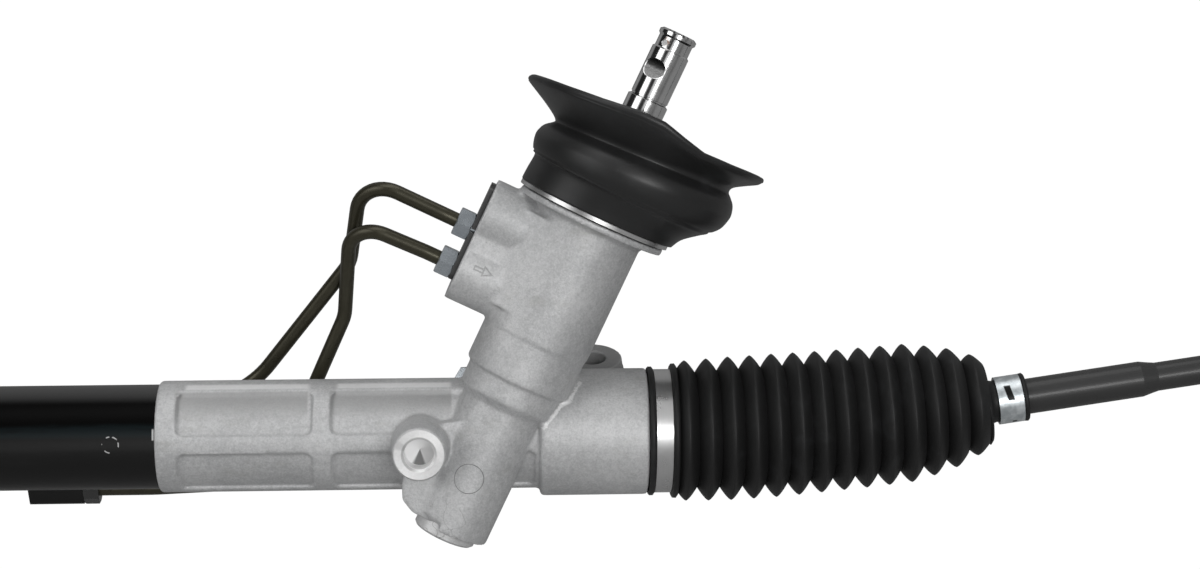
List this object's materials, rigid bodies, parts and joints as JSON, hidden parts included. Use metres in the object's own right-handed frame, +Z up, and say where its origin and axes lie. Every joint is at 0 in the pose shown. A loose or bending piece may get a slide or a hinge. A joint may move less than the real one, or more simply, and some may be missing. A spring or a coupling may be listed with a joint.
{
  "type": "steering_rack",
  "caption": "Hydraulic steering rack with cast aluminium valve housing, black cylinder tube, transfer pipes, rubber boots and inner tie rods.",
  "frame": {"origin": "centre of the pinion-side mounting bore at its lower face", "axes": "+X along the rack towards the pinion end, +Y to the back of the housing, +Z up the mounting bores"},
  "size_m": [1.1696, 0.14, 0.217],
  "materials": {
    "cast_aluminium": "as-cast, shot-blasted",
    "black_paint": "gloss black paint",
    "olive_steel": "olive chromate coating",
    "zinc": "bright zinc plating",
    "steel": "machined",
    "bright_steel": "ground and polished",
    "bronze": "sintered bronze",
    "black_rubber": "satin moulded rubber",
    "boot_rubber": "matte moulded rubber",
    "ring_plastic": "filled low-friction plastic"
  },
  "bodies": {
    "housing": {"rack_housing": "cast_aluminium", "cylinder_tube": "black_paint", "tube_port_blocks": "black_paint", "lower_transfer_pipe": "olive_steel", "upper_transfer_pipe": "olive_steel", "pipe_nuts": "zinc", "port_plate": "black_paint", "dash_seal": "black_rubber", "dash_seal_ring": "steel", "right_boot": "boot_rubber", "left_boot": "boot_rubber", "right_boot_band": "steel", "left_boot_band": "steel", "tube_mount_bush": "black_rubber", "tube_mount_bracket": "black_paint", "tube_end_bush": "steel", "tube_end_seal": "black_rubber", "tube_end_ring": "steel", "inner_rack_seal": "black_rubber", "inner_seal_support": "steel", "rack_yoke": "cast_aluminium", "yoke_spring": "steel", "yoke_adjuster": "cast_aluminium", "yoke_lock_nut": "zinc", "pinion_bearing_outer": "steel", "pinion_bearing_balls": "steel", "pinion_bush": "bronze", "lower_cap": "cast_aluminium", "shaft_bearing": "steel", "shaft_seal": "black_rubber", "tower_snap_ring": "steel"},
    "pinion": {"pinion": "steel", "pinion_bearing_inner": "steel", "pinion_nut": "zinc", "valve_sleeve": "steel", "valve_sleeve_rings": "ring_plastic"},
    "input_shaft": {"input_shaft": "bright_steel", "torsion_bar": "steel", "torsion_bar_pin": "steel"},
    "rack": {"rack_bar": "bright_steel", "piston": "steel", "piston_ring": "ring_plastic", "right_ball_housing": "steel", "left_ball_housing": "steel"},
    "right_ball_seat_body": {"right_ball_seat": "ring_plastic"},
    "left_ball_seat_body": {"left_ball_seat": "ring_plastic"},
    "right_rod": {"right_tie_rod": "black_paint", "right_jam_nut": "zinc", "right_boot_clamp": "zinc"},
    "left_rod": {"left_tie_rod": "black_paint", "left_jam_nut": "zinc", "left_boot_clamp": "zinc"}
  },
  "joints": [
    {"name": "rack_slide", "type": "slide", "parent": "housing", "child": "rack", "axis": [1, 0, 0], "range_m": [-0.07, 0.07], "deforming": ["right_boot", "left_boot"]},
    {"name": "pinion_spin", "type": "hinge", "parent": "housing", "child": "pinion", "pos_m": [-0.0473, -0.05656, 0.0231], "axis": [0.4305, 0.2879, 0.8554], "range_deg": [-555, 555]},
    {"name": "torsion_twist", "type": "hinge", "parent": "pinion", "child": "input_shaft", "pos_m": [-0.0473, -0.05656, 0.0231], "axis": [0.4305, 0.2879, 0.8554], "range_deg": [-4, 4], "stiffness_Nm_per_rad": 85},
    {"name": "right_swing", "type": "hinge", "parent": "rack", "child": "right_ball_seat_body", "pos_m": [0.0977, -0.0414, 0.018], "axis": [0, -1, 0], "range_deg": [-31.1, 12.9]},
    {"name": "right_sweep", "type": "hinge", "parent": "right_ball_seat_body", "child": "right_rod", "pos_m": [0.0977, -0.0414, 0.018], "axis": [-0.1582, 0, 0.9874], "range_deg": [-22, 22]},
    {"name": "left_swing", "type": "hinge", "parent": "rack", "child": "left_ball_seat_body", "pos_m": [-0.5343, -0.0414, 0.018], "axis": [0, 1, 0], "range_deg": [-22, 22]},
    {"name": "left_sweep", "type": "hinge", "parent": "left_ball_seat_body", "child": "left_rod", "pos_m": [-0.5343, -0.0414, 0.018], "axis": [0, 0, 1], "range_deg": [-22, 22]}
  ],
  "couplings": [
    {"joint": "pinion_spin", "follows": "rack_slide", "rad_per_m": -138.25}
  ]
}
